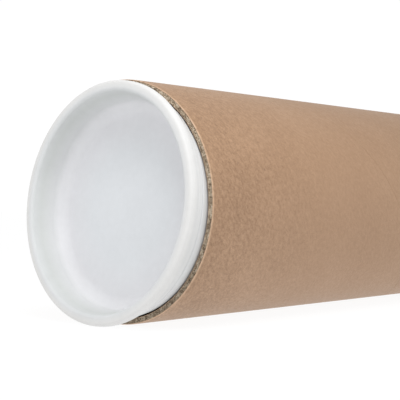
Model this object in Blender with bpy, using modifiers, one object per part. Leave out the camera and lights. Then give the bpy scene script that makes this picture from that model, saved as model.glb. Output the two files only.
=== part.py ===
"""Drawing tube: a spiral-wound cardboard tube lying on its side, with a plastic plug cap in each end.

Frame: +Y runs from the near end to the far end, +Z is up, and the origin is below the middle of the
tube on the surface it lies on. The tube wall is six plies: strips of paper wound in a helix, whose
edges meet in a butt joint, each ply turned on from the one below so that no two joints lie together.
The near cap sits askew, pushed home at its upper left only. The far cap is fully home.
"""

import math

import bmesh
import bpy
from mathutils import Vector

MM = 0.001

# Tube
TUBE_LENGTH = 630 * MM
TUBE_RADIUS = 40 * MM
BORE_RADIUS = 38.1 * MM
SIDES = 48  # facets round the tube and the caps
FACET = math.tau / SIDES

# Plies, from the bore outwards
LINER_THICK = 0.14 * MM
WRAP_THICK = 0.16 * MM
BOARD_PLIES = 4
GLUE_LINE = 0.02 * MM
STRIP_WIDTH = 150 * MM
BUTT_GAP = 0.4 * MM
WRAP_SEAM_REACH = 112 * MM  # where the outer wrap's joint crosses the +X side, from the near end
JOINT_STAGGER = 8  # facets from one ply's joint to the next one's

# Caps
CAP_GAP = 0.3 * MM
LIP_RADIUS = 39.8 * MM
LIP_THICK = 2.9 * MM
LIP_ROUND = 1.2 * MM
RECESS_RADIUS = 36.2 * MM
RECESS_DEPTH = 12 * MM
RECESS_DRAFT = 1.6 * MM
FLOOR_FILLET = 2.6 * MM
FLOOR_THICK = 1.5 * MM
SHOULDER_RADIUS = 37.9 * MM  # the wide part of the skirt, next to the lip
SHOULDER_DEPTH = 7 * MM
SKIRT_RADIUS = 37.5 * MM
SKIRT_DEPTH = 14.6 * MM
GROOVE_WIDTH = 0.6 * MM
GROOVE_CUT = 0.35 * MM
LEAD_IN_START = 8 * MM
LEAD_IN_RADIUS = 35.9 * MM
TIP_ROUND = 0.6 * MM

# How the near cap sits
STAND_OFF = 7.8 * MM
TILT = math.radians(6.6)
PROUD_SIDE = math.radians(-60)  # from +X towards +Z, seen from the near end

# Where things lie along Y and Z
AXIS_HEIGHT = TUBE_RADIUS * math.cos(FACET / 2)
NEAR_REACH = (
    STAND_OFF + (LIP_RADIUS - LIP_ROUND) * math.sin(TILT) + LIP_ROUND * (1 - math.cos(TILT))
)
FAR_REACH = CAP_GAP + LIP_THICK
NEAR_END = NEAR_REACH - (NEAR_REACH + TUBE_LENGTH + FAR_REACH) / 2
FAR_END = NEAR_END + TUBE_LENGTH


def clear_scene():
    for obj in list(bpy.data.objects):
        bpy.data.objects.remove(obj, do_unlink=True)


def new_collection(name):
    collection = bpy.data.collections.new(name)
    bpy.context.scene.collection.children.link(collection)
    return collection


def make_material(name, color, roughness):
    material = bpy.data.materials.new(name)
    material.use_nodes = True
    shader = material.node_tree.nodes["Principled BSDF"]
    shader.inputs["Base Color"].default_value = (*color, 1)
    shader.inputs["Roughness"].default_value = roughness
    shader.inputs["Metallic"].default_value = 0
    return material


def make_outline(name, points, collection, closed=False):
    """A mesh of edges through (radius, height) points, in the XZ plane."""
    shape = bmesh.new()
    corners = [shape.verts.new((radius, 0, height)) for radius, height in points]
    for first, second in zip(corners, corners[1:]):
        shape.edges.new((first, second))
    if closed:
        shape.edges.new((corners[-1], corners[0]))
    mesh = bpy.data.meshes.new(name)
    shape.to_mesh(mesh)
    shape.free()
    obj = bpy.data.objects.new(name, mesh)
    collection.objects.link(obj)
    return obj


def add_screw(obj, turns=1, climb=0.0):
    screw = obj.modifiers.new("turn", "SCREW")
    screw.steps = SIDES
    screw.render_steps = SIDES
    screw.iterations = turns
    screw.screw_offset = climb
    screw.use_merge_vertices = climb == 0
    screw.merge_threshold = 0.00001
    screw.use_smooth_shade = True
    return screw


def make_axis():
    """An empty at the middle of the near end, whose local Z runs along the tube."""
    axis = bpy.data.objects.new("tube_axis", None)
    axis.location = (0, NEAR_END, AXIS_HEIGHT)
    axis.rotation_euler = (math.radians(-90), 0, 0)
    bpy.context.scene.collection.objects.link(axis)
    return axis


def make_trimmer(axis, cutters):
    """The length of the tube as a plain drum: what a wound strip keeps of itself."""
    shape = bmesh.new()
    bmesh.ops.create_cone(
        shape,
        cap_ends=True,
        segments=SIDES,
        radius1=2 * TUBE_RADIUS,
        radius2=2 * TUBE_RADIUS,
        depth=TUBE_LENGTH,
    )
    mesh = bpy.data.meshes.new("trimmer")
    shape.to_mesh(mesh)
    shape.free()
    trimmer = bpy.data.objects.new("trimmer", mesh)
    trimmer.location = (0, 0, TUBE_LENGTH / 2)
    trimmer.parent = axis
    trimmer.hide_render = True
    trimmer.display_type = "WIRE"
    cutters.objects.link(trimmer)
    return trimmer


def strip_pitch(radius):
    """How far a strip of the standard width climbs in one turn when its edges just meet."""
    lean = math.asin(STRIP_WIDTH / (math.tau * radius))
    return STRIP_WIDTH / math.cos(lean)


def wind_ply(name, outer_radius, thickness, joint_facets, material, axis, trimmer, parts):
    """One strip wound from end to end. joint_facets turns its joint round the tube."""
    pitch = strip_pitch(TUBE_RADIUS)
    side = [(outer_radius, pitch - BUTT_GAP), (outer_radius, 0)]
    ply = make_outline(name, side, parts)
    turns = math.ceil(TUBE_LENGTH / pitch) + 2
    add_screw(ply, turns, pitch)
    solid = ply.modifiers.new("thickness", "SOLIDIFY")
    solid.thickness = thickness
    solid.offset = -1
    solid.use_even_offset = True
    trim = ply.modifiers.new("ends", "BOOLEAN")
    trim.operation = "INTERSECT"
    trim.object = trimmer
    trim.solver = "EXACT"
    start = WRAP_SEAM_REACH - 2 * pitch
    ply.location = (0, 0, start)
    ply.rotation_euler = (0, 0, (joint_facets + 0.5) * FACET)
    ply.parent = axis
    ply.data.materials.append(material)
    return ply


def close_ply(name, outer_radius, thickness, material, axis, parts):
    """A ply whose joint is glued shut, so that it is a plain tube."""
    inner_radius = outer_radius - thickness / math.cos(FACET / 2)
    section = [
        (outer_radius, TUBE_LENGTH),
        (outer_radius, 0),
        (inner_radius, 0),
        (inner_radius, TUBE_LENGTH),
    ]
    ply = make_outline(name, section, parts, closed=True)
    add_screw(ply)
    ply.rotation_euler = (0, 0, FACET / 2)
    ply.parent = axis
    ply.data.materials.append(material)
    return ply


def make_wall(axis, trimmer, parts):
    kraft = make_material("kraft_paper", (0.47, 0.315, 0.21), 0.75)
    board = make_material("grey_board", (0.3, 0.24, 0.17), 0.9)
    glue_lines = (BOARD_PLIES + 1) * GLUE_LINE
    wall = TUBE_RADIUS - BORE_RADIUS
    board_thick = (wall - LINER_THICK - WRAP_THICK - glue_lines) / BOARD_PLIES
    slant = 1 / math.cos(FACET / 2)  # radial depth at a corner, for one unit of thickness
    radius = TUBE_RADIUS
    wind_ply("outer_kraft_wrap", radius, WRAP_THICK, 0, kraft, axis, trimmer, parts)
    radius -= (WRAP_THICK + GLUE_LINE) * slant
    for number in range(BOARD_PLIES, 0, -1):
        name = f"board_ply_{number}"
        if number == BOARD_PLIES:
            close_ply(name, radius, board_thick, board, axis, parts)
        else:
            turned = (BOARD_PLIES - number) * JOINT_STAGGER
            wind_ply(name, radius, board_thick, turned, board, axis, trimmer, parts)
        radius -= (board_thick + GLUE_LINE) * slant
    turned = (BOARD_PLIES + 1) * JOINT_STAGGER
    wind_ply("inner_kraft_liner", radius, LINER_THICK, turned, kraft, axis, trimmer, parts)


def arc(centre, radius, start, stop, steps):
    """Points from the angle start to stop, in degrees, both ends included."""
    angles = [math.radians(start + (stop - start) * step / steps) for step in range(steps + 1)]
    return [(centre[0] + radius * math.cos(a), centre[1] + radius * math.sin(a)) for a in angles]


def cap_outline():
    """Half of the cap's section: recess floor, lip, shoulder, groove, skirt and back."""
    wall_foot = RECESS_RADIUS - RECESS_DRAFT
    skirt_inside = LEAD_IN_RADIUS - FLOOR_THICK
    floor_back = -RECESS_DEPTH - FLOOR_THICK
    points = [(0, -RECESS_DEPTH)]
    points += arc((wall_foot - FLOOR_FILLET, -RECESS_DEPTH + FLOOR_FILLET), FLOOR_FILLET, -90, 0, 4)
    points += arc((RECESS_RADIUS + LIP_ROUND, -LIP_ROUND), LIP_ROUND, 180, 90, 3)
    points += arc((LIP_RADIUS - LIP_ROUND, -LIP_ROUND), LIP_ROUND, 90, 0, 3)
    points += [
        (LIP_RADIUS, -LIP_THICK),
        (SHOULDER_RADIUS, -LIP_THICK),
        (SHOULDER_RADIUS, -SHOULDER_DEPTH),
        (SKIRT_RADIUS - GROOVE_CUT, -SHOULDER_DEPTH - GROOVE_WIDTH / 2),
        (SKIRT_RADIUS, -SHOULDER_DEPTH - GROOVE_WIDTH),
        (SKIRT_RADIUS, -LEAD_IN_START),
    ]
    points += arc((LEAD_IN_RADIUS - TIP_ROUND, -SKIRT_DEPTH + TIP_ROUND), TIP_ROUND, 0, -90, 2)
    points += [
        (skirt_inside, -SKIRT_DEPTH),
        (skirt_inside, floor_back),
        (0, floor_back),
    ]
    return points


def make_cap(name, location, outward, material, parts):
    """A plug cap with the middle of its lip's face at location and its face turned outward."""
    cap = make_outline(name, cap_outline(), parts)
    add_screw(cap)
    cap.location = location
    cap.rotation_mode = "QUATERNION"
    cap.rotation_quaternion = Vector((0, 0, 1)).rotation_difference(outward)
    cap.data.materials.append(material)
    return cap


def make_caps(parts):
    plastic = make_material("white_plastic", (0.76, 0.77, 0.78), 0.45)
    proud = Vector((math.cos(PROUD_SIDE), 0, math.sin(PROUD_SIDE)))
    along = Vector((0, 1, 0))
    near_middle = Vector((0, NEAR_END - STAND_OFF, AXIS_HEIGHT))
    near_outward = -(math.cos(TILT) * along + math.sin(TILT) * proud)
    make_cap("near_end_cap", near_middle, near_outward, plastic, parts)
    far_middle = Vector((0, FAR_END + FAR_REACH, AXIS_HEIGHT))
    make_cap("far_end_cap", far_middle, along, plastic, parts)


def main():
    clear_scene()
    parts = new_collection("drawing_tube")
    cutters = new_collection("cutters")
    axis = make_axis()
    trimmer = make_trimmer(axis, cutters)
    make_wall(axis, trimmer, parts)
    make_caps(parts)


main()
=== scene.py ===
"""Looks of the drawing tube: wound plies, plastic caps, their materials, the studio and the camera.

Every CAD solid is stood for by a finer mesh in the same place. The plies are wound in helices as they
are in the CAD, and the caps are turned from the same section, apart from the sizes marked below.
"""

import math

import bmesh
import bpy
import numpy as np
from mathutils import Matrix, Vector


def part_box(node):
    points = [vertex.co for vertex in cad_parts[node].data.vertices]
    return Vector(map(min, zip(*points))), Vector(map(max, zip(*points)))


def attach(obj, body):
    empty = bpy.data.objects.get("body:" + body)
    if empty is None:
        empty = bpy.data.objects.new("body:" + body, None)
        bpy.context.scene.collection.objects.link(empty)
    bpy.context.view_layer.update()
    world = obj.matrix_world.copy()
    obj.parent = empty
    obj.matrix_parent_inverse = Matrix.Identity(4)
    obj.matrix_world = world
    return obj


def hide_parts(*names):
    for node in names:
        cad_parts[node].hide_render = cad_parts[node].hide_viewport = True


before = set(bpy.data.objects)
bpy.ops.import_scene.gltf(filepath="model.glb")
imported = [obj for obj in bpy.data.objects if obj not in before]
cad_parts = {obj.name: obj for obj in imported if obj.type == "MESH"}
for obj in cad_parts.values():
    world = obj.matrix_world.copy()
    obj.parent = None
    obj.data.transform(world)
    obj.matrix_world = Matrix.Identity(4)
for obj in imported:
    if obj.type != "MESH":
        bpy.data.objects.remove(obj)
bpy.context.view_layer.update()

MM = 0.001

# Tube, as in the CAD
WRAP_LOW, WRAP_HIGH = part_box("outer_kraft_wrap")
NEAR_END = WRAP_LOW.y
LENGTH = WRAP_HIGH.y - WRAP_LOW.y
AXIS_HEIGHT = (WRAP_LOW.z + WRAP_HIGH.z) / 2
TUBE_RADIUS = 40 * MM
BORE_RADIUS = 38.1 * MM
LINER_THICK = 0.14 * MM
WRAP_THICK = 0.16 * MM
BOARD_THICK = 0.375 * MM
BOARD_PLIES = 4
GLUE_LINE = 0.02 * MM
STRIP_WIDTH = 150 * MM
BUTT_GAP = 0.1 * MM  # narrower than the CAD's
WRAP_SEAM_REACH = 112 * MM
FACET = math.tau / 48  # the CAD's facets place the joints
JOINT_STAGGER = 8  # facets from one ply's joint to the next one's

# Caps, as in the CAD
CAP_GAP = 0.3 * MM
LIP_RADIUS = 39.8 * MM
LIP_THICK = 2.9 * MM
LIP_ROUND = 1.2 * MM
RECESS_RADIUS = 36.2 * MM
RECESS_DEPTH = 12 * MM
RECESS_DRAFT = 1.6 * MM
FLOOR_FILLET = 4.8 * MM  # a softer corner than the CAD's
FLOOR_THICK = 1.5 * MM
SHOULDER_RADIUS = 37.9 * MM
SHOULDER_DEPTH = 7 * MM
SKIRT_RADIUS = 37.5 * MM
SKIRT_DEPTH = 14.6 * MM
GROOVE_WIDTH = 0.6 * MM
GROOVE_CUT = 0.35 * MM
LEAD_IN_START = 8 * MM
LEAD_IN_RADIUS = 35.9 * MM
TIP_ROUND = 0.6 * MM
STAND_OFF = 7.8 * MM
TILT = math.radians(6.6)
PROUD_SIDE = math.radians(-60)  # from +X towards +Z, seen from the near end

# Fine shape of the wall, which the CAD leaves out
SWELL_HEIGHT = 0.02 * MM
SWELL_TWIST = 11  # radians a metre
SIDE_ROWS = (0, 0.06 * MM, 0.3 * MM, 1.2 * MM)  # rows of points next to each edge of a strip
CORNER_CUT = 0.35  # share of a ply's thickness that its outer corners lose
EDGE_WEAR = 0.14 * MM
EDGE_WEAR_REACH = 0.4 * MM
CUT_REACH = 0.5 * MM  # how far from the tube's ends the paper shows as cut: paler, partly frayed fibres and partly a painted highlight
WINDING_TRIM = 1e-4  # radians left off each end of a strip, so that its ends have some width
AT_END = 1e-9  # nearer to an end than this counts as at it
RAGGED_COARSE = 0.6
RAGGED_FINE = 0.55
RAGGED_TWIST = 3  # radians through a ply's thickness

# Fine shape of the caps, which the CAD leaves out
FLOOR_DISH = 0.12 * MM
LIP_BACK_ROUND = 0.7 * MM
SHOULDER_FILLET = 0.5 * MM
SHOULDER_ROUND = 0.25 * MM
BACK_EDGE_ROUND = 0.2 * MM
BACK_FILLET = 0.5 * MM
CAP_SEGMENTS = 256

# Camera, from the middle of the tube's near end
CAMERA_OFFSET = Vector((0.2512, -0.254587, -0.000887))
CAMERA_AIM = Vector((-0.64782252, 0.76177759, 0.00456941))
CAMERA_UP = Vector((0, -0.00599825, 0.99998201))
CAMERA_LENS = 98.34
CAMERA_SENSOR = 36


# ---------------------------------------------------------------- shapes


def waves(seed, count, lowest, highest, roll_off):
    """Random whole-number waves round a circle, with an amplitude that falls with the frequency."""
    source = np.random.default_rng(seed)
    turns = source.integers(lowest, highest + 1, count)
    size = source.uniform(0.4, 1.0, count) / (turns / lowest) ** roll_off
    return turns, size / np.sqrt((size**2).sum() / 2), source.uniform(0, math.tau, count)


def ripple(angles, table, twist=0.0):
    """The sum of waves() at each angle: about one in root mean square."""
    turns, size, phase = table
    arguments = np.multiply.outer(np.asarray(angles), turns) + phase + np.multiply.outer(
        np.asarray(twist) * np.ones_like(angles), np.sqrt(turns)
    )
    return (np.cos(arguments) * size).sum(-1)


SWELL = waves(3, count=14, lowest=2, highest=9, roll_off=0.6)


def swell(angles, along):
    """How far the wound wall stands out of round, the same for every ply."""
    return SWELL_HEIGHT * ripple(angles, SWELL, along * SWELL_TWIST)


def mesh_object(name, corners, faces, smooth=True):
    mesh = bpy.data.meshes.new(name)
    mesh.from_pydata(corners.tolist(), [], faces)
    mesh.polygons.foreach_set("use_smooth", [smooth] * len(mesh.polygons))
    mesh.update()
    obj = bpy.data.objects.new(name, mesh)
    bpy.context.scene.collection.objects.link(obj)
    return obj


def face_outward(obj):
    shape = bmesh.new()
    shape.from_mesh(obj.data)
    bmesh.ops.recalc_face_normals(shape, faces=shape.faces)
    shape.to_mesh(obj.data)
    shape.free()


def sharpen(obj, degrees):
    """Marks the edges where the surface turns by more than this, so that shading breaks there."""
    shape = bmesh.new()
    shape.from_mesh(obj.data)
    for edge in shape.edges:
        if len(edge.link_faces) == 2 and edge.calc_face_angle(0) > math.radians(degrees):
            edge.smooth = False
    shape.to_mesh(obj.data)
    shape.free()


def strip_pitch():
    lean = math.asin(STRIP_WIDTH / (math.tau * TUBE_RADIUS))
    return STRIP_WIDTH / math.cos(lean)


def rows_between(count):
    """Shares of the way along a strip's side, closely spaced at both ends."""
    ends = np.array(SIDE_ROWS) / STRIP_WIDTH
    middle = np.linspace(0, 1, count + 2)[1:-1]
    return np.concatenate([ends, middle, 1 - ends[::-1]])


def ply_run(columns, joint):
    """The angle of each column of points, and how far along the tube the ply starts and stops there."""
    if joint is None:
        angles = np.linspace(0, math.tau, columns, endpoint=False)
        return angles, np.zeros(columns), np.full(columns, LENGTH)
    pitch = strip_pitch()
    start = WRAP_SEAM_REACH - 2 * pitch
    first = -(start + pitch - BUTT_GAP) / pitch * math.tau + WINDING_TRIM
    last = (LENGTH - start) / pitch * math.tau - WINDING_TRIM
    turns = np.linspace(first, last, math.ceil((last - first) / math.tau * columns))
    edge = start + pitch * turns / math.tau
    return turns + joint, np.clip(edge, 0, LENGTH), np.clip(edge + pitch - BUTT_GAP, 0, LENGTH)


def strip_tips(count, width, half, steps):
    """Faces that close a strip's two pointed ends, between its outer and its inner side."""
    faces = []
    for base, turned in ((0, False), ((count - 1) * width, True)):
        inner_start = base + width - steps - 1
        tip = []
        for i in range(half - 1):
            tip.append([base + i, base + i + 1, inner_start - 1 - i, inner_start - i])
        tip.append([base + half - 1] + [base + half + step for step in range(steps + 1)])
        tip.append([inner_start + step for step in range(steps + 1)] + [base])
        faces += [face[::-1] for face in tip] if turned else tip
    return faces


def store(obj, name, kind, field, values):
    """Keeps one value for each point of the mesh, for its material to read."""
    layer = obj.data.attributes.new(name, kind, "POINT")
    layer.data.foreach_set(field, values.astype(np.float32).ravel())


def ply_grain(radius, angles, along, closed):
    """Each point's place on the unrolled strip, so that the paper's grain follows the winding."""
    if closed:
        # A closed ply has no joint to hide a break, so its grain runs on the circle itself.
        return np.stack([radius * np.cos(angles), along, radius * np.sin(angles)], -1)
    lay = math.atan2(strip_pitch(), math.tau * TUBE_RADIUS)
    arc_length = TUBE_RADIUS * angles
    down_strip = arc_length * math.cos(lay) + along * math.sin(lay)
    across_strip = along * math.cos(lay) - arc_length * math.sin(lay)
    return np.stack([down_strip, across_strip, radius], -1)


def ply_mesh(name, outer, thickness, columns, rows, steps, relief, seed, joint):
    """One ply. joint is the angle where its butt joint crosses the +X side, or None for a closed tube."""
    closed = joint is None
    angles, low, high = ply_run(columns, joint)
    share = rows_between(rows)
    half = len(share)
    across = np.linspace(0, 1, steps + 2)[1:-1]
    # One closed loop of points per column: outer side, far edge, inner side, near edge.
    loop_share = np.concatenate([share, np.ones(steps), share[::-1], np.zeros(steps)])
    loop_depth = np.concatenate([0 * share, across, 1 + 0 * share, across[::-1]])
    width, count = len(loop_share), len(angles)
    corner_cut = np.zeros(width)
    corner_cut[[0, half - 1]] = CORNER_CUT
    along = low[:, None] + (high - low)[:, None] * loop_share
    grid_angle = angles[:, None] * np.ones_like(along)
    inner = outer - thickness
    depth = np.maximum(loop_depth, corner_cut)[None, :]
    radius = outer - (outer - inner) * depth * np.ones_like(along)
    radius = radius + swell(grid_angle, along)
    # The saw leaves the outer edge of the wall a little rounded.
    to_end = np.minimum(along, LENGTH - along)
    wear = EDGE_WEAR * np.exp(-to_end / EDGE_WEAR_REACH)
    radius = radius - wear * (outer - BORE_RADIUS) / (TUBE_RADIUS - BORE_RADIUS)
    # The cut ends of the tube are a little ragged.
    coarse = waves(seed, count=60, lowest=20, highest=260, roll_off=0.3)
    fine = waves(seed + 1, count=70, lowest=120, highest=700, roll_off=0.1)
    ragged = ripple(angles, coarse)[:, None] * RAGGED_COARSE
    ragged = ragged + ripple(grid_angle, fine, loop_depth[None, :] * RAGGED_TWIST) * RAGGED_FINE
    near = (low < AT_END)[:, None] & (loop_share < AT_END)[None, :]
    far = (high > LENGTH - AT_END)[:, None] & (loop_share > 1 - AT_END)[None, :]
    along = along + np.where(near, relief * ragged, 0) - np.where(far, relief * ragged[:, ::-1], 0)
    x, z = radius * np.cos(grid_angle), AXIS_HEIGHT - radius * np.sin(grid_angle)
    corners = np.stack([x, NEAR_END + along, z], -1).reshape(-1, 3)
    k, j = np.meshgrid(np.arange(count if closed else count - 1), np.arange(width), indexing="ij")
    j2 = (j + 1) % width
    here, beyond = k * width, (k + 1) % count * width
    faces = np.stack([here + j, beyond + j, beyond + j2, here + j2], -1).reshape(-1, 4).tolist()
    if not closed:
        faces += strip_tips(count, width, half, steps)
    obj = mesh_object(name, corners, faces)
    store(obj, "grain", "FLOAT_VECTOR", "vector", ply_grain(radius, grid_angle, along, closed))
    store(obj, "cut", "FLOAT", "value", np.clip(1 - to_end / CUT_REACH, 0, 1))
    face_outward(obj)
    sharpen(obj, degrees=40)
    return obj


def arc(centre, radius, start, stop, steps):
    """Points from the angle start to stop, in degrees, both ends included."""
    angles = [math.radians(start + (stop - start) * step / steps) for step in range(steps + 1)]
    return [(centre[0] + radius * math.cos(a), centre[1] + radius * math.sin(a)) for a in angles]


def cap_outline():
    """Half of the cap's section, from the middle of the recess floor round to the middle of its back."""
    wall_foot = RECESS_RADIUS - RECESS_DRAFT
    skirt_inside = LEAD_IN_RADIUS - FLOOR_THICK
    floor_back = -RECESS_DEPTH - FLOOR_THICK
    flat = wall_foot - FLOOR_FILLET
    points = []
    for step in range(1, 10):
        share = step / 10
        points.append((flat * share, -RECESS_DEPTH - FLOOR_DISH * (1 - share**2)))
    points += arc((flat, -RECESS_DEPTH + FLOOR_FILLET), FLOOR_FILLET, -90, 0, 18)
    points += arc((RECESS_RADIUS + LIP_ROUND, -LIP_ROUND), LIP_ROUND, 180, 90, 10)
    points += arc((LIP_RADIUS - LIP_ROUND, -LIP_ROUND), LIP_ROUND, 90, 0, 10)
    lip_back = (LIP_RADIUS - LIP_BACK_ROUND, -LIP_THICK + LIP_BACK_ROUND)
    points += arc(lip_back, LIP_BACK_ROUND, 0, -80, 6)
    under_lip = (SHOULDER_RADIUS + SHOULDER_FILLET, -LIP_THICK - SHOULDER_FILLET)
    points += arc(under_lip, SHOULDER_FILLET, 95, 180, 5)
    shoulder_edge = (SHOULDER_RADIUS - SHOULDER_ROUND, -SHOULDER_DEPTH + SHOULDER_ROUND)
    points += arc(shoulder_edge, SHOULDER_ROUND, 0, -75, 4)
    points += [
        (SKIRT_RADIUS - GROOVE_CUT, -SHOULDER_DEPTH - 0.3 * GROOVE_WIDTH),
        (SKIRT_RADIUS - GROOVE_CUT, -SHOULDER_DEPTH - 0.7 * GROOVE_WIDTH),
        (SKIRT_RADIUS, -SHOULDER_DEPTH - GROOVE_WIDTH),
        (SKIRT_RADIUS, -LEAD_IN_START - 0.2 * MM),
    ]
    points += arc((LEAD_IN_RADIUS - TIP_ROUND, -SKIRT_DEPTH + TIP_ROUND), TIP_ROUND, 0, -90, 6)
    back_edge = (skirt_inside + BACK_EDGE_ROUND, -SKIRT_DEPTH + BACK_EDGE_ROUND)
    points += arc(back_edge, BACK_EDGE_ROUND, -90, -180, 3)
    points += arc((skirt_inside - BACK_FILLET, floor_back - BACK_FILLET), BACK_FILLET, 0, 90, 4)
    points += [(skirt_inside * step / 8, floor_back) for step in range(7, 0, -1)]
    return points


def turned_mesh(name, outline, segments):
    """The outline turned about Z, closed by a fan of triangles at each end."""
    outline = np.array(outline)
    angles = np.linspace(0, math.tau, segments, endpoint=False)
    corners = np.stack(
        [
            np.multiply.outer(outline[:, 0], np.cos(angles)),
            np.multiply.outer(outline[:, 0], np.sin(angles)),
            np.multiply.outer(outline[:, 1], np.ones(segments)),
        ],
        -1,
    ).reshape(-1, 3)
    rings = len(outline)
    k, j = np.meshgrid(np.arange(rings - 1), np.arange(segments), indexing="ij")
    j2 = (j + 1) % segments
    here, beyond = k * segments, (k + 1) * segments
    faces = np.stack([here + j, here + j2, beyond + j2, beyond + j], -1).reshape(-1, 4).tolist()
    front = len(corners)
    corners = np.vstack([corners, [[0, 0, outline[0, 1]], [0, 0, outline[-1, 1]]]])
    last = (rings - 1) * segments
    for j in range(segments):
        j2 = (j + 1) % segments
        faces.append([front, j2, j])
        faces.append([front + 1, last + j, last + j2])
    obj = mesh_object(name, corners, faces)
    face_outward(obj)
    return obj


def place_cap(obj, location, outward):
    """Moves the mesh itself, and keeps each point's place in the cap's own frame for the material."""
    corners = np.empty(len(obj.data.vertices) * 3, np.float32)
    obj.data.vertices.foreach_get("co", corners)
    store(obj, "own_place", "FLOAT_VECTOR", "vector", corners)
    turn = Vector((0, 0, 1)).rotation_difference(outward).to_matrix().to_4x4()
    obj.data.transform(Matrix.Translation(location) @ turn)


# ---------------------------------------------------------------- materials


class Graph:
    """A material's node tree, with short ways to add and join nodes."""

    def __init__(self, name):
        self.material = bpy.data.materials.new(name)
        self.material.use_nodes = True
        self.tree = self.material.node_tree
        self.tree.nodes.clear()
        self.shader = self.add("ShaderNodeBsdfPrincipled")
        output = self.add("ShaderNodeOutputMaterial")
        self.tree.links.new(self.shader.outputs["BSDF"], output.inputs["Surface"])

    def add(self, kind, **inputs):
        node = self.tree.nodes.new(kind)
        for key, value in inputs.items():
            self.put(node.inputs[key.replace("_", " ")], value)
        return node

    def put(self, socket, value):
        if isinstance(value, bpy.types.NodeSocket):
            self.tree.links.new(value, socket)
        else:
            socket.default_value = value

    def math(self, operation, first, second=0.0, third=0.0):
        node = self.tree.nodes.new("ShaderNodeMath")
        node.operation = operation
        for socket, value in zip(node.inputs, (first, second, third)):
            self.put(socket, value)
        return node.outputs[0]

    def scaled(self, vector, scale):
        node = self.tree.nodes.new("ShaderNodeVectorMath")
        node.operation = "MULTIPLY"
        self.put(node.inputs[0], vector)
        self.put(node.inputs[1], scale)
        return node.outputs[0]

    def shaded(self, color, shade):
        """The colour with its three channels multiplied by the same number."""
        grey = self.add("ShaderNodeCombineXYZ", X=shade, Y=shade, Z=shade).outputs[0]
        return self.scaled(color, grey)

    def noise(self, vector, scale, detail, roughness):
        node = self.add("ShaderNodeTexNoise", Vector=vector, Scale=scale, Detail=detail)
        self.put(node.inputs["Roughness"], roughness)
        return node.outputs["Fac"]

    def ramp(self, factor, *stops):
        node = self.tree.nodes.new("ShaderNodeValToRGB")
        elements = node.color_ramp.elements
        while len(elements) < len(stops):
            elements.new(0.5)
        for element, (position, color) in zip(elements, stops):
            element.position = position
            element.color = (*color, 1)
        self.put(node.inputs[0], factor)
        return node.outputs[0]

    def blend(self, factor, first, second):
        node = self.tree.nodes.new("ShaderNodeMix")
        node.data_type = "RGBA"
        self.put(node.inputs[0], factor)
        for socket, value in ((node.inputs[6], first), (node.inputs[7], second)):
            self.put(socket, value if isinstance(value, bpy.types.NodeSocket) else (*value, 1))
        return node.outputs[2]

    def stretch(self, value, low, high, to_low=0.0, to_high=1.0):
        node = self.tree.nodes.new("ShaderNodeMapRange")
        for socket, number in zip(node.inputs, (value, low, high, to_low, to_high)):
            self.put(socket, number)
        return node.outputs[0]

    def attribute(self, name):
        node = self.tree.nodes.new("ShaderNodeAttribute")
        node.attribute_name = name
        return node

    def bump(self, height, strength, distance, normal=None):
        node = self.add("ShaderNodeBump", Height=height, Strength=strength, Distance=distance)
        if normal is not None:
            self.put(node.inputs["Normal"], normal)
        return node.outputs[0]

    def set(self, **values):
        for key, value in values.items():
            self.put(self.shader.inputs[key.replace("_", " ")], value)


def specks(graph, vector, scale, share, size):
    """A mask of scattered dots: share of the cells hold one, of up to size cells across."""
    node = graph.add("ShaderNodeTexVoronoi", Vector=vector, Scale=scale)
    pick = graph.add("ShaderNodeSeparateColor", Color=node.outputs["Color"])
    chosen = graph.math("LESS_THAN", pick.outputs[0], share)
    reach = graph.stretch(pick.outputs[1], 0, 1, 0.4 * size, size)
    inside = graph.stretch(graph.math("DIVIDE", node.outputs["Distance"], reach), 0.6, 1.0, 1, 0)
    return graph.math("MULTIPLY", inside, chosen)


DARK_SPECK = (0.14, 0.08, 0.045)
PALE_SPECK = (0.55, 0.38, 0.24)
FRAYED_AND_HIGHLIT_PAPER = (0.62, 0.42, 0.28)
BOARD_FIBRE = (0.30, 0.22, 0.14)
PLASTIC_SPECK = (0.35, 0.33, 0.32)
MOTTLE_FULL_TO = 12 * MM  # from the near end
MOTTLE_FADED_BY = 65 * MM
MOTTLE_LEFT = 0.4
BOARD_PAINTED_SHADE_LOW = 10 * MM  # heights between which the board's painted shade changes, darker low down and lighter high up
BOARD_PAINTED_SHADE_HIGH = 70 * MM
RING_MARGIN = 0.1 * MM  # the rings fade in from this far inside the skirt's radius
RINGS_ALONG = 5600  # radians a metre, down the cap's side
RINGS_ACROSS = 900  # radians a metre, outwards


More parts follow.
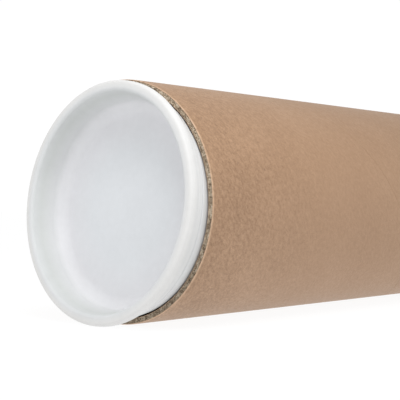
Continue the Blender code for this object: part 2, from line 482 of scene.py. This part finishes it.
def kraft_material(name, dark, middle, light, roughness):
    """Brown paper with fibres, specks and pits. roughness is about that of its middle tone."""
    graph = Graph(name)
    grain = graph.attribute("grain").outputs["Vector"]
    flocs = graph.noise(graph.scaled(grain, (1, 1.5, 1)), 620, 3, 0.6)
    fibres = graph.noise(graph.scaled(grain, (1, 2.6, 1)), 1500, 3, 0.6)
    cross_fibres = graph.noise(graph.scaled(grain, (2.6, 1, 1)), 1100, 2, 0.5)
    cloud = graph.noise(grain, 45, 3, 0.5)
    height = graph.math("MULTIPLY_ADD", fibres, 0.6, graph.math("MULTIPLY", cross_fibres, 0.4))
    tone = graph.math("MULTIPLY_ADD", flocs, 0.50, graph.math("MULTIPLY", height, 0.32))
    tone = graph.math("MULTIPLY_ADD", cloud, 0.20, tone)
    color = graph.ramp(graph.stretch(tone, 0.34, 0.68), (0.0, dark), (0.5, middle), (1.0, light))
    pits = graph.noise(graph.scaled(grain, (1, 1.3, 1)), 2100, 2, 0.6)
    grit = graph.stretch(pits, 0.34, 0.60, 0.80, 1.09)
    color = graph.shaded(color, grit)
    dots = specks(graph, grain, 330, 0.16, 0.20)
    color = graph.blend(graph.math("MULTIPLY", dots, 0.42), color, DARK_SPECK)
    pale = specks(graph, graph.scaled(grain, (1, 4, 1)), 170, 0.14, 0.16)
    color = graph.blend(graph.math("MULTIPLY", pale, 0.22), color, PALE_SPECK)
    # The paper's mottle is strongest at the near end and fades along the tube.
    place = graph.add("ShaderNodeTexCoord").outputs["Object"]
    reach = graph.add("ShaderNodeSeparateXYZ", Vector=place).outputs[1]
    fade = (NEAR_END + MOTTLE_FULL_TO, NEAR_END + MOTTLE_FADED_BY)
    strength = graph.stretch(reach, *fade, 1.0, MOTTLE_LEFT)
    color = graph.blend(strength, middle, color)
    # Paler paper at the cut ends: partly frayed fibres, partly a painted highlight along the rounded
    # edge.
    cut = graph.attribute("cut").outputs["Fac"]
    patches = graph.stretch(flocs, 0.3, 0.6, 0.55, 1)
    frayed_and_highlit = graph.math("MULTIPLY", graph.stretch(cut, 0.1, 0.75), patches)
    color = graph.blend(frayed_and_highlit, color, FRAYED_AND_HIGHLIT_PAPER)
    normal = graph.bump(height, 0.35, 0.06 * MM)
    normal = graph.bump(pits, 0.7, 0.10 * MM, normal)
    normal = graph.bump(cloud, 0.25, 0.3 * MM, normal)
    rough = graph.stretch(tone, 0.3, 0.75, roughness + 0.10, roughness - 0.08)
    graph.set(Base_Color=color, Roughness=rough, Normal=normal, Specular_IOR_Level=0.45)
    return graph.material


def board_material(name):
    """Grey recycled board with flecks, as its cut edge shows it."""
    graph = Graph(name)
    grain = graph.attribute("grain").outputs["Vector"]
    place = graph.add("ShaderNodeTexCoord").outputs["Object"]
    flecks = graph.noise(place, 2300, 2, 0.6)
    coarse = graph.noise(place, 900, 3, 0.6)
    fibres = graph.noise(graph.scaled(grain, (1, 5, 1)), 900, 3, 0.6)
    tone = graph.math("MULTIPLY_ADD", flecks, 0.5, graph.math("MULTIPLY", coarse, 0.5))
    color = graph.ramp(
        graph.stretch(tone, 0.36, 0.64),
        (0.0, (0.095, 0.062, 0.038)),
        (0.35, (0.290, 0.220, 0.152)),
        (0.65, (0.500, 0.410, 0.305)),
        (1.0, (0.740, 0.640, 0.510)),
    )
    color = graph.blend(graph.stretch(fibres, 0.5, 0.75, 0, 0.3), color, BOARD_FIBRE)
    level = graph.add("ShaderNodeSeparateXYZ", Vector=place).outputs[2]
    # Painted shade and light: the board is darker low down and lighter high up, as the light from above
    # falls on it.
    shade = graph.stretch(level, BOARD_PAINTED_SHADE_LOW, BOARD_PAINTED_SHADE_HIGH, 0.80, 1.16)
    color = graph.shaded(color, shade)
    normal = graph.bump(flecks, 0.7, 0.15 * MM)
    normal = graph.bump(coarse, 0.6, 0.25 * MM, normal)
    rough = graph.stretch(coarse, 0.3, 0.7, 0.82, 0.96)
    graph.set(Base_Color=color, Roughness=rough, Normal=normal, Specular_IOR_Level=0.25)
    return graph.material


def plastic_material(name):
    """White moulded plastic, with painted light and shade by radius, a faint mottle and a few small
    specks.
    """
    graph = Graph(name)
    place = graph.attribute("own_place").outputs["Vector"]
    axes = graph.add("ShaderNodeSeparateXYZ", Vector=place)
    x, y, height = axes.outputs
    radius = graph.math("SQRT", graph.math("MULTIPLY_ADD", x, x, graph.math("MULTIPLY", y, y)))
    cloud = graph.noise(place, 60, 3, 0.5)
    mottle = graph.noise(place, 420, 2, 0.5)
    tone = graph.math("MULTIPLY_ADD", cloud, 0.6, graph.math("MULTIPLY", mottle, 0.4))
    # Painted light and shade on the moulding's pale tint: its colour steps from the middle of the floor
    # out to the side of the lip, darker on the recess wall and lighter out on the lip, as the light falls
    # there.
    color = graph.ramp(
        graph.math("MULTIPLY", radius, 1 / LIP_RADIUS),
        (0.45, (0.686, 0.706, 0.730)),
        (0.76, (0.722, 0.724, 0.748)),
        (0.85, (0.716, 0.718, 0.735)),
        (0.895, (0.600, 0.618, 0.606)),
        (0.925, (0.652, 0.664, 0.672)),
        (0.97, (0.700, 0.698, 0.690)),
    )
    shade = graph.stretch(tone, 0.3, 0.7, 0.965, 1.035)
    color = graph.shaded(color, shade)
    dots = specks(graph, place, 85, 0.05, 0.035)
    color = graph.blend(graph.math("MULTIPLY", dots, 0.5), color, PLASTIC_SPECK)
    # Fine rings left by the turned mould, down the side and on the outer part of the lip.
    turning = graph.math("MULTIPLY", radius, RINGS_ACROSS)
    turning = graph.math("MULTIPLY_ADD", height, RINGS_ALONG, turning)
    rings = graph.math("SINE", turning)
    skin = graph.noise(place, 1500, 2, 0.5)
    side = graph.stretch(radius, SKIRT_RADIUS - RING_MARGIN, SHOULDER_RADIUS - RING_MARGIN, 0, 0.55)
    normal = graph.bump(rings, side, 0.045 * MM)
    normal = graph.bump(skin, 0.10, 0.03 * MM, normal)
    normal = graph.bump(cloud, 0.10, 0.4 * MM, normal)
    rough = graph.stretch(mottle, 0.3, 0.7, 0.60, 0.70)
    graph.set(Base_Color=color, Roughness=rough, Normal=normal, Specular_IOR_Level=0.4)
    return graph.material


# ---------------------------------------------------------------- the object

kraft = kraft_material(
    "kraft_paper", (0.258, 0.147, 0.079), (0.370, 0.221, 0.125), (0.482, 0.300, 0.180), 0.48
)
liner_paper = kraft_material(
    "liner_paper", (0.16, 0.098, 0.060), (0.205, 0.13, 0.08), (0.26, 0.168, 0.104), 0.7
)
board = board_material("grey_board")
plastic = plastic_material("white_plastic")


def add_ply(node, outer, thickness, detail, relief, seed, joint_facets, material, slot):
    """detail is the columns of points in one turn, the rows of a side and the steps of an edge."""
    columns, rows, steps = detail
    joint = None if joint_facets is None else (joint_facets + 0.5) * FACET
    ply = ply_mesh(node + "_look", outer, thickness, columns, rows, steps, relief, seed, joint)
    ply.data.materials.append(material)
    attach(ply, "tube")
    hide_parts(node)


PAPER_DETAIL = (240, 22, 1)
LINER_DETAIL = (240, 14, 1)
BOARD_DETAIL = (360, 4, 3)
PAPER_RELIEF = 0.035 * MM
LINER_RELIEF = 0.05 * MM
BOARD_RELIEF = 0.07 * MM

paper = (kraft, "kraft_paper")
grey = (board, "grey_board")
liner = (liner_paper, "kraft_paper")

radius = TUBE_RADIUS
add_ply("outer_kraft_wrap", radius, WRAP_THICK, PAPER_DETAIL, PAPER_RELIEF, 11, 0, *paper)
radius -= WRAP_THICK + GLUE_LINE
for number in range(BOARD_PLIES, 0, -1):
    node, seed = f"board_ply_{number}", 20 + number
    facets = None if number == BOARD_PLIES else (BOARD_PLIES - number) * JOINT_STAGGER
    add_ply(node, radius, BOARD_THICK, BOARD_DETAIL, BOARD_RELIEF, seed, facets, *grey)
    radius -= BOARD_THICK + GLUE_LINE
facets = (BOARD_PLIES + 1) * JOINT_STAGGER
add_ply("inner_kraft_liner", radius, LINER_THICK, LINER_DETAIL, LINER_RELIEF, 41, facets, *liner)

proud = Vector((math.cos(PROUD_SIDE), 0, math.sin(PROUD_SIDE)))
along_tube = Vector((0, 1, 0))
near_middle = Vector((0, NEAR_END - STAND_OFF, AXIS_HEIGHT))
near_outward = -(math.cos(TILT) * along_tube + math.sin(TILT) * proud)
far_middle = Vector((0, NEAR_END + LENGTH + CAP_GAP + LIP_THICK, AXIS_HEIGHT))
caps = {"near": (near_middle, near_outward), "far": (far_middle, along_tube)}
for side, (location, outward) in caps.items():
    cap = turned_mesh(f"{side}_end_cap_look", cap_outline(), CAP_SEGMENTS)
    place_cap(cap, location, outward)
    cap.data.materials.append(plastic)
    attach(cap, f"{side}_cap")
    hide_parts(f"{side}_end_cap")


# ---------------------------------------------------------------- studio


FLOOR_HALF = 4.0
FLOOR_DROP = 0.2 * MM  # below the tube, so that the two never share a plane
HORIZON_LIGHT = (0.2, 1.02)  # height of the view direction, and the strength up to there
TOP_LIGHT = (0.45, 0.69)  # and the strength from there up
LAMP_OFFSET = (0.165, -0.105, 0.33)  # from the floor below the tube's near end
LAMP_SIZE = 0.2
LAMP_WATTS = 0.70


def make_floor():
    """A dark floor that glows, so that it is near white and takes only a faint shadow."""
    signs = ((-1, -1), (1, -1), (1, 1), (-1, 1))
    corners = np.array([(x * FLOOR_HALF, y * FLOOR_HALF, -FLOOR_DROP) for x, y in signs])
    floor = mesh_object("floor", corners, [[0, 1, 2, 3]], smooth=False)
    graph = Graph("pale_floor")
    graph.set(Base_Color=(0.11, 0.11, 0.111, 1), Roughness=0.9, Specular_IOR_Level=0.0)
    graph.set(Emission_Color=(1, 1, 1, 1), Emission_Strength=0.92)
    floor.data.materials.append(graph.material)


def make_world():
    """A grey-white studio, brighter low down and round the horizon than overhead."""
    world = bpy.data.worlds.new("studio")
    bpy.context.scene.world = world
    world.use_nodes = True
    tree = world.node_tree
    tree.nodes.clear()
    place = tree.nodes.new("ShaderNodeTexCoord")
    axes = tree.nodes.new("ShaderNodeSeparateXYZ")
    rise = tree.nodes.new("ShaderNodeMapRange")
    background = tree.nodes.new("ShaderNodeBackground")
    output = tree.nodes.new("ShaderNodeOutputWorld")
    tree.links.new(place.outputs["Generated"], axes.inputs[0])
    tree.links.new(axes.outputs[2], rise.inputs[0])
    (low, low_strength), (high, high_strength) = HORIZON_LIGHT, TOP_LIGHT
    for socket, value in zip(rise.inputs[1:5], (low, high, low_strength, high_strength)):
        socket.default_value = value
    tree.links.new(rise.outputs[0], background.inputs["Strength"])
    background.inputs["Color"].default_value = (1, 1, 1, 1)
    tree.links.new(background.outputs[0], output.inputs[0])


def make_lamp():
    """A soft box above the near end, aimed at the tube's mouth and hidden from the camera."""
    lamp = bpy.data.lights.new("soft_box", "AREA")
    lamp.shape = "RECTANGLE"
    lamp.size, lamp.size_y = LAMP_SIZE, LAMP_SIZE
    lamp.energy = LAMP_WATTS
    obj = bpy.data.objects.new("soft_box", lamp)
    obj.location = Vector((0, NEAR_END, 0)) + Vector(LAMP_OFFSET)
    aim = Vector((0, NEAR_END, TUBE_RADIUS)) - obj.location
    obj.rotation_euler = aim.to_track_quat("-Z", "Y").to_euler()
    obj.visible_camera = False
    bpy.context.scene.collection.objects.link(obj)


def make_camera():
    data = bpy.data.cameras.new("camera")
    data.lens = CAMERA_LENS
    data.sensor_width = CAMERA_SENSOR
    data.clip_start, data.clip_end = 0.01, 50
    camera = bpy.data.objects.new("camera", data)
    bpy.context.scene.collection.objects.link(camera)
    back = -CAMERA_AIM.normalized()
    right = CAMERA_UP.cross(back).normalized()
    up = back.cross(right)
    turn = Matrix((right, up, back)).transposed()
    middle = Vector((0, NEAR_END, AXIS_HEIGHT))
    camera.matrix_world = Matrix.Translation(middle + CAMERA_OFFSET) @ turn.to_4x4()
    bpy.context.scene.camera = camera


make_floor()
make_world()
make_lamp()
make_camera()
bpy.context.scene.view_settings.view_transform = "Standard"
